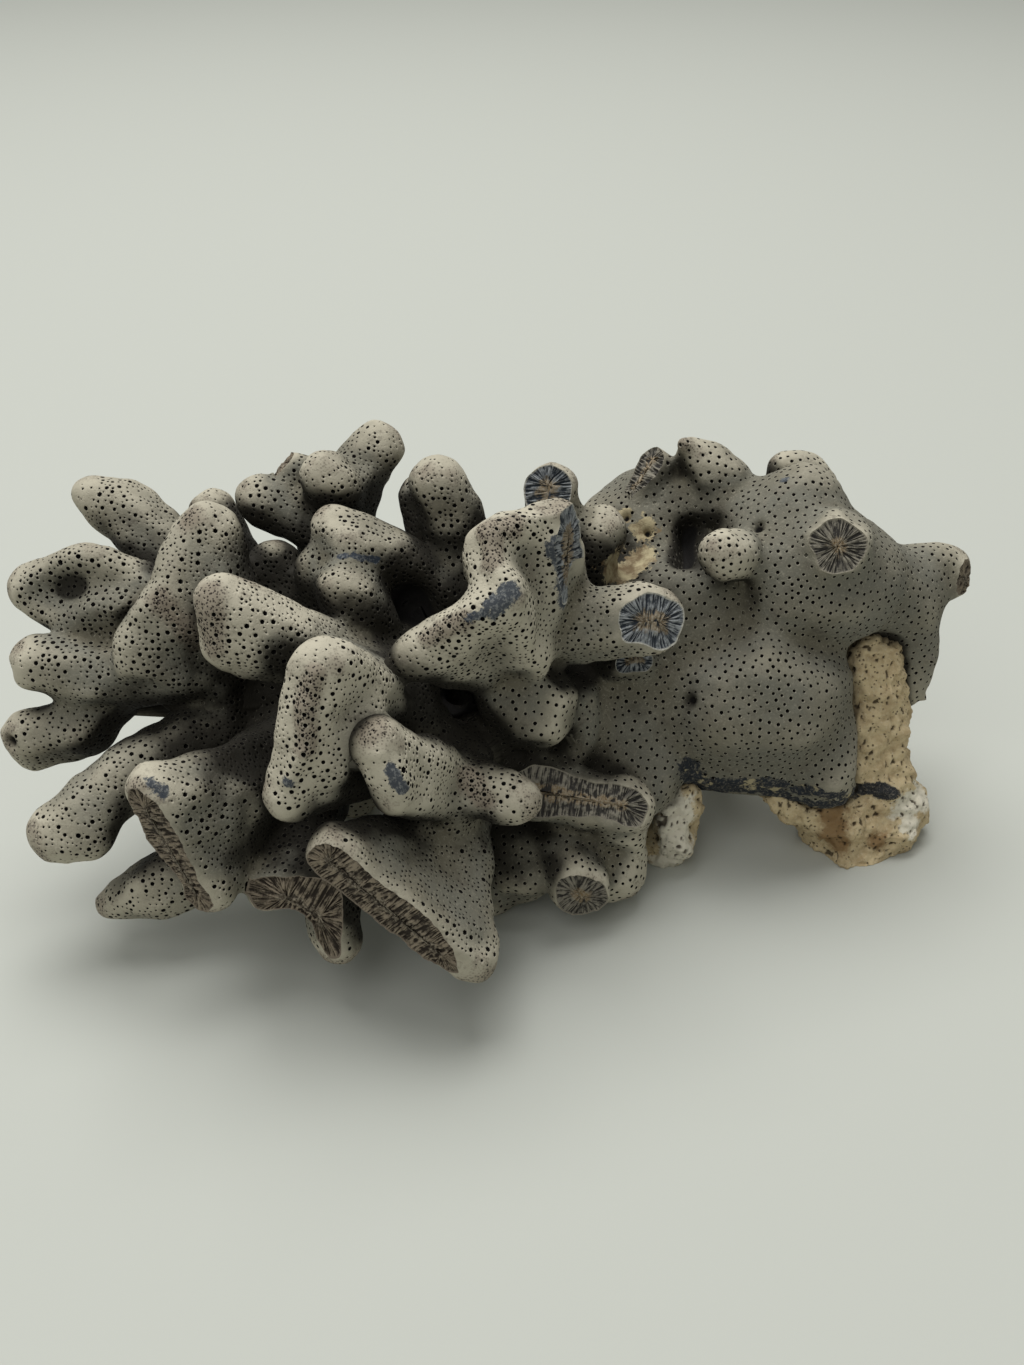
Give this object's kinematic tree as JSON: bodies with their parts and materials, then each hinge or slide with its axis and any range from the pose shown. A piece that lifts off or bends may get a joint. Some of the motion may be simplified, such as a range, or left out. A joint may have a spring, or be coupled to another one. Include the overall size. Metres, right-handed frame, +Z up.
{
  "type": "blue coral skeleton",
  "caption": "Blue coral skeleton lying on its side: a swollen base mass on a rock foot, with porous fingers, blades and broken plates spreading from its trunk.",
  "frame": {"origin": "middle of the coral's box, on the surface it rests on", "axes": "+X along the coral from its finger tips to its base, +Z up, -Y the side that shows best"},
  "size_m": [0.2358, 0.1308, 0.1042],
  "materials": {
    "coral_skin": "matt grey-beige stony skin pricked by small round pores, browner on ridges and tips",
    "broken_coral": "matt weathered broken coral, fibrous, brown with slate-blue fibres",
    "reef_rock": "rough tan and cream reef rock with rust stains"
  },
  "bodies": {
    "root": {"lower_bulge": "coral_skin", "upper_bulge": "coral_skin", "saddle": "coral_skin", "back_dome": "coral_skin", "right_shoulder": "coral_skin", "lower_lobe": "coral_skin", "front_pillar": "coral_skin", "top_knob": "coral_skin", "ribbed_stub": "broken_coral", "front_knob": "coral_skin", "rear_stub": "coral_skin", "face_stub": "coral_skin", "right_stub": "coral_skin", "rock_column": "reef_rock", "rock_foot": "reef_rock", "crumbly_foot": "reef_rock", "main_trunk": "coral_skin", "long_arm": "coral_skin", "tall_finger": "coral_skin", "right_finger": "coral_skin", "short_stub": "coral_skin", "round_knob": "coral_skin", "inner_lobe": "coral_skin", "wavy_fin": "coral_skin", "forked_finger": "coral_skin", "top_branch": "coral_skin", "top_side_lobe": "coral_skin", "small_top_knob": "coral_skin", "shaded_limb": "coral_skin", "middle_finger": "coral_skin", "small_finger_right": "coral_skin", "small_finger_left": "coral_skin", "back_finger": "coral_skin", "upper_left_finger": "coral_skin", "broad_blade": "coral_skin", "leaf_blade": "coral_skin", "left_finger": "coral_skin", "twin_finger": "coral_skin", "lower_left_finger": "coral_skin", "blunt_arm": "coral_skin", "forked_blade": "coral_skin", "middle_blade": "coral_skin", "left_plate": "coral_skin", "pointed_finger": "coral_skin", "front_plate": "coral_skin", "low_plate": "coral_skin", "broken_ridge": "broken_coral", "lower_side_lobe": "coral_skin", "lower_stub": "coral_skin", "under_lobe": "coral_skin", "rear_rest": "reef_rock", "left_rest": "broken_coral"}
  },
  "joints": []
}
